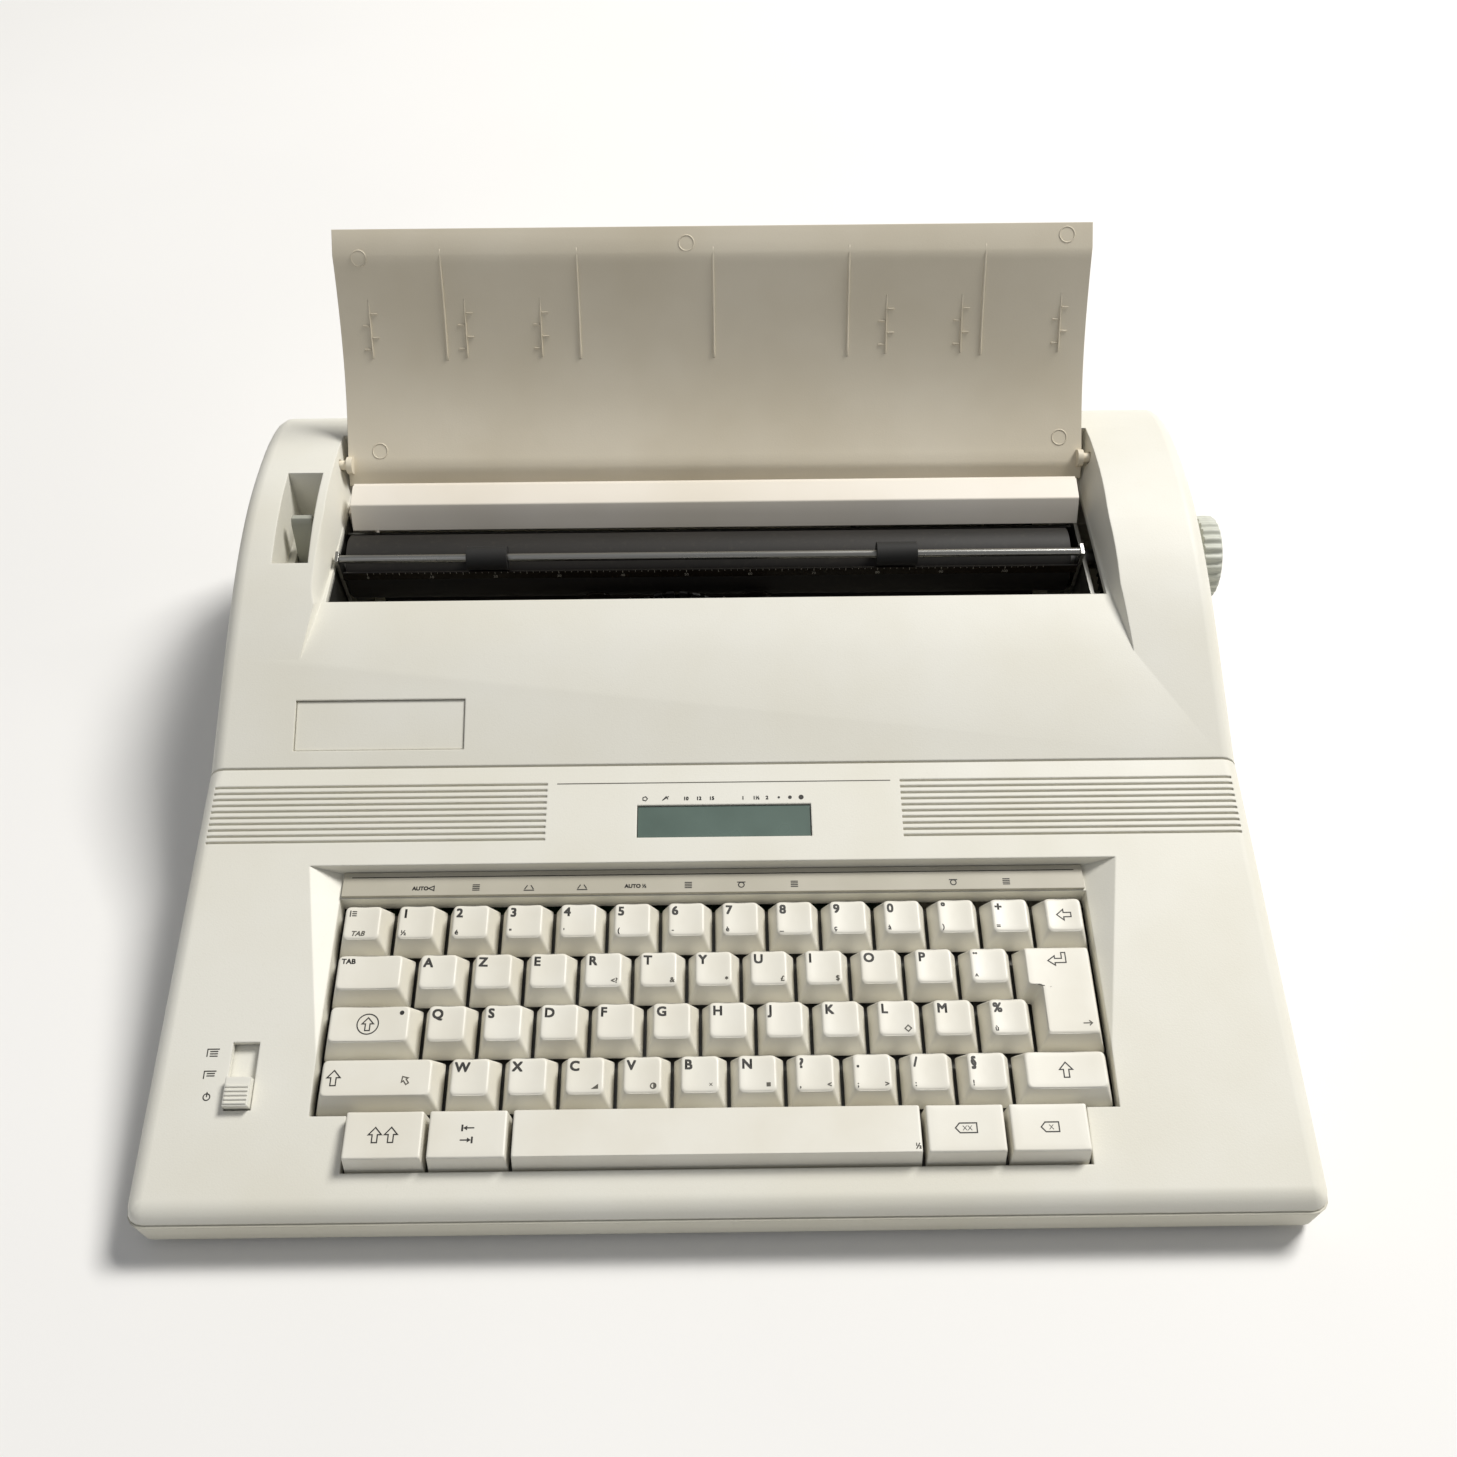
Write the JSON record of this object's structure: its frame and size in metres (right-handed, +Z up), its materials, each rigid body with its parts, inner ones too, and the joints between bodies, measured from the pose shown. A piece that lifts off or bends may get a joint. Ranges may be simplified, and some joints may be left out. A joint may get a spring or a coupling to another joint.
{
  "type": "typewriter",
  "caption": "Portable electronic daisy-wheel typewriter with a hinged paper-support lid, platen with knob, paper bail, small display and full sprung keyboard.",
  "frame": {"origin": "middle of the whole footprint, lid open and knob included, on the table plane", "axes": "+X along the platen towards the knob, +Y from the keyboard to the back, +Z up"},
  "size_m": [0.3944, 0.3436, 0.1674],
  "materials": {
    "case_plastic": "fine moulded texture, warm off-white",
    "base_plastic": "fine moulded texture, warm off-white",
    "key_plastic": "fine texture, off-white",
    "strip_plastic": "satin beige grey",
    "lid_plastic": "satin beige",
    "bar_plastic": "satin pale beige",
    "grey_plastic": "satin light grey",
    "black_plastic": "black moulding",
    "platen_rubber": "ground black rubber",
    "dark_rubber": "black rubber",
    "display_glass": "clear window over a grey-green display",
    "steel": "plain rolled steel",
    "motor_steel": "dull plated steel",
    "board_green": "solder-masked circuit board",
    "smoked_plastic": "smoked plastic"
  },
  "bodies": {
    "machine": {"base_tray": "base_plastic", "carriage_motor": "motor_steel", "carriage_rail_front": "steel", "carriage_rail_rear": "steel", "display_module": "black_plastic", "display_window": "display_glass", "drive_belt": "dark_rubber", "feed_motor": "motor_steel", "foot_front_left": "dark_rubber", "foot_front_right": "dark_rubber", "foot_rear_left": "dark_rubber", "foot_rear_right": "dark_rubber", "function_strip": "strip_plastic", "key_frame_plate": "steel", "keyboard_circuit": "board_green", "keyboard_cover": "case_plastic", "main_board": "board_green", "mains_inlet": "black_plastic", "nameplate_badge": "case_plastic", "paper_guide_bar": "bar_plastic", "paper_pan": "steel", "rear_hood": "case_plastic", "side_frame_left": "steel", "side_frame_right": "steel", "transformer": "motor_steel"},
    "lid": {"paper_support_lid": "lid_plastic"},
    "platen": {"platen_roller": "platen_rubber", "platen_shaft": "steel", "platen_knob": "grey_plastic", "platen_gear": "black_plastic"},
    "feed_pinion": {"feed_pinion": "black_plastic"},
    "pressure_roller": {"pressure_roller": "dark_rubber"},
    "release_lever": {"paper_release_lever": "grey_plastic"},
    "bail": {"bail_frame": "steel", "bail_scale": "smoked_plastic"},
    "bail_roller_left": {"bail_roller_left": "dark_rubber"},
    "bail_roller_right": {"bail_roller_right": "dark_rubber"},
    "carriage": {"carriage_frame": "black_plastic", "card_holder": "smoked_plastic", "ribbon_cassette": "black_plastic", "wheel_motor": "motor_steel"},
    "print_wheel": {"print_wheel": "black_plastic"},
    "hammer": {"hammer_pin": "steel"},
    "drive_pulley": {"drive_pulley": "grey_plastic"},
    "idler_pulley": {"idler_pulley": "grey_plastic"},
    "power_slider": {"power_slider": "case_plastic"},
    "number_row_keys": {"number_row_keys": "key_plastic"},
    "top_letter_keys": {"top_letter_keys": "key_plastic"},
    "home_letter_keys": {"home_letter_keys": "key_plastic"},
    "bottom_letter_keys": {"bottom_letter_keys": "key_plastic"},
    "tab_key": {"tab_key": "key_plastic"},
    "lock_key": {"lock_key": "key_plastic"},
    "left_shift_key": {"left_shift_key": "key_plastic"},
    "right_shift_key": {"right_shift_key": "key_plastic"},
    "return_key": {"return_key": "key_plastic"},
    "code_key": {"code_key": "key_plastic"},
    "margin_key": {"margin_key": "key_plastic"},
    "space_bar": {"space_bar": "key_plastic"},
    "word_erase_key": {"word_erase_key": "key_plastic"},
    "erase_key": {"erase_key": "key_plastic"}
  },
  "joints": [
    {"name": "lid_hinge", "type": "hinge", "parent": "machine", "child": "lid", "pos_m": [-0.00474, 0.11742, 0.0925], "axis": [-1, 0, 0], "range_deg": [-135, 0]},
    {"name": "platen_turn", "type": "hinge", "parent": "machine", "child": "platen", "pos_m": [-0.00774, 0.08292, 0.068], "axis": [1, 0, 0], "continuous": true},
    {"name": "feed_pinion_turn", "type": "hinge", "parent": "machine", "child": "feed_pinion", "pos_m": [0.15576, 0.06443, 0.04951], "axis": [1, 0, 0], "continuous": true},
    {"name": "pressure_roller_turn", "type": "hinge", "parent": "machine", "child": "pressure_roller", "pos_m": [-0.00774, 0.08784, 0.04965], "axis": [1, 0, 0], "continuous": true},
    {"name": "paper_release_swing", "type": "hinge", "parent": "machine", "child": "release_lever", "pos_m": [-0.16894, 0.07992, 0.06], "axis": [1, 0, 0], "range_deg": [0, 25]},
    {"name": "bail_swing", "type": "hinge", "parent": "machine", "child": "bail", "pos_m": [-0.00274, 0.07892, 0.042], "axis": [1, 0, 0], "range_deg": [0, 12]},
    {"name": "bail_roller_left_turn", "type": "hinge", "parent": "bail", "child": "bail_roller_left", "pos_m": [-0.09524, 0.07192, 0.08199], "axis": [1, 0, 0], "continuous": true},
    {"name": "bail_roller_right_turn", "type": "hinge", "parent": "bail", "child": "bail_roller_right", "pos_m": [0.06676, 0.07192, 0.08199], "axis": [1, 0, 0], "continuous": true},
    {"name": "carriage_travel", "type": "slide", "parent": "machine", "child": "carriage", "axis": [1, 0, 0], "range_m": [-0.094, 0.118]},
    {"name": "print_wheel_turn", "type": "hinge", "parent": "carriage", "child": "print_wheel", "pos_m": [-0.02074, 0.06642, 0.04], "axis": [0, 1, 0], "continuous": true},
    {"name": "hammer_strike", "type": "slide", "parent": "carriage", "child": "hammer", "axis": [0, 1, 0], "range_m": [0, 0.0015], "stiffness_N_per_m": 60, "springref_m": -0.0005},
    {"name": "drive_pulley_turn", "type": "hinge", "parent": "machine", "child": "drive_pulley", "pos_m": [-0.14074, 0.00042, 0.039], "axis": [0, 0, 1], "continuous": true},
    {"name": "idler_pulley_turn", "type": "hinge", "parent": "machine", "child": "idler_pulley", "pos_m": [0.13126, 0.00042, 0.039], "axis": [0, 0, 1], "continuous": true},
    {"name": "power_slide", "type": "slide", "parent": "machine", "child": "power_slider", "axis": [0, 0.9767, 0.2147], "range_m": [0, 0.012]},
    {"name": "number_row_keys_press", "type": "slide", "parent": "machine", "child": "number_row_keys", "axis": [0, -0.1219, 0.9925], "range_m": [-0.0035, 0], "stiffness_N_per_m": 600, "springref_m": 0.002},
    {"name": "top_letter_keys_press", "type": "slide", "parent": "machine", "child": "top_letter_keys", "axis": [0, -0.1219, 0.9925], "range_m": [-0.0035, 0], "stiffness_N_per_m": 600, "springref_m": 0.002},
    {"name": "home_letter_keys_press", "type": "slide", "parent": "machine", "child": "home_letter_keys", "axis": [0, -0.1219, 0.9925], "range_m": [-0.0035, 0], "stiffness_N_per_m": 600, "springref_m": 0.002},
    {"name": "bottom_letter_keys_press", "type": "slide", "parent": "machine", "child": "bottom_letter_keys", "axis": [0, -0.1219, 0.9925], "range_m": [-0.0035, 0], "stiffness_N_per_m": 600, "springref_m": 0.002},
    {"name": "tab_key_press", "type": "slide", "parent": "machine", "child": "tab_key", "axis": [0, -0.1219, 0.9925], "range_m": [-0.0035, 0], "stiffness_N_per_m": 200, "springref_m": 0.0015},
    {"name": "lock_key_press", "type": "slide", "parent": "machine", "child": "lock_key", "axis": [0, -0.1219, 0.9925], "range_m": [-0.0035, 0], "stiffness_N_per_m": 200, "springref_m": 0.0015},
    {"name": "left_shift_key_press", "type": "slide", "parent": "machine", "child": "left_shift_key", "axis": [0, -0.1219, 0.9925], "range_m": [-0.0035, 0], "stiffness_N_per_m": 200, "springref_m": 0.0015},
    {"name": "right_shift_key_press", "type": "slide", "parent": "machine", "child": "right_shift_key", "axis": [0, -0.1219, 0.9925], "range_m": [-0.0035, 0], "stiffness_N_per_m": 200, "springref_m": 0.0015},
    {"name": "return_key_press", "type": "slide", "parent": "machine", "child": "return_key", "axis": [0, -0.1219, 0.9925], "range_m": [-0.0035, 0], "stiffness_N_per_m": 200, "springref_m": 0.0015},
    {"name": "code_key_press", "type": "slide", "parent": "machine", "child": "code_key", "axis": [0, -0.1219, 0.9925], "range_m": [-0.0035, 0], "stiffness_N_per_m": 200, "springref_m": 0.0015},
    {"name": "margin_key_press", "type": "slide", "parent": "machine", "child": "margin_key", "axis": [0, -0.1219, 0.9925], "range_m": [-0.0035, 0], "stiffness_N_per_m": 200, "springref_m": 0.0015},
    {"name": "space_bar_press", "type": "slide", "parent": "machine", "child": "space_bar", "axis": [0, -0.1219, 0.9925], "range_m": [-0.0035, 0], "stiffness_N_per_m": 400, "springref_m": 0.0015},
    {"name": "word_erase_key_press", "type": "slide", "parent": "machine", "child": "word_erase_key", "axis": [0, -0.1219, 0.9925], "range_m": [-0.0035, 0], "stiffness_N_per_m": 200, "springref_m": 0.0015},
    {"name": "erase_key_press", "type": "slide", "parent": "machine", "child": "erase_key", "axis": [0, -0.1219, 0.9925], "range_m": [-0.0035, 0], "stiffness_N_per_m": 200, "springref_m": 0.0015}
  ],
  "couplings": [
    {"joint": "feed_pinion_turn", "follows": "platen_turn", "ratio": -3.3333},
    {"joint": "pressure_roller_turn", "follows": "platen_turn", "ratio": -2.1167},
    {"joint": "drive_pulley_turn", "follows": "carriage_travel", "rad_per_m": -147.06},
    {"joint": "idler_pulley_turn", "follows": "carriage_travel", "rad_per_m": -147.06}
  ]
}
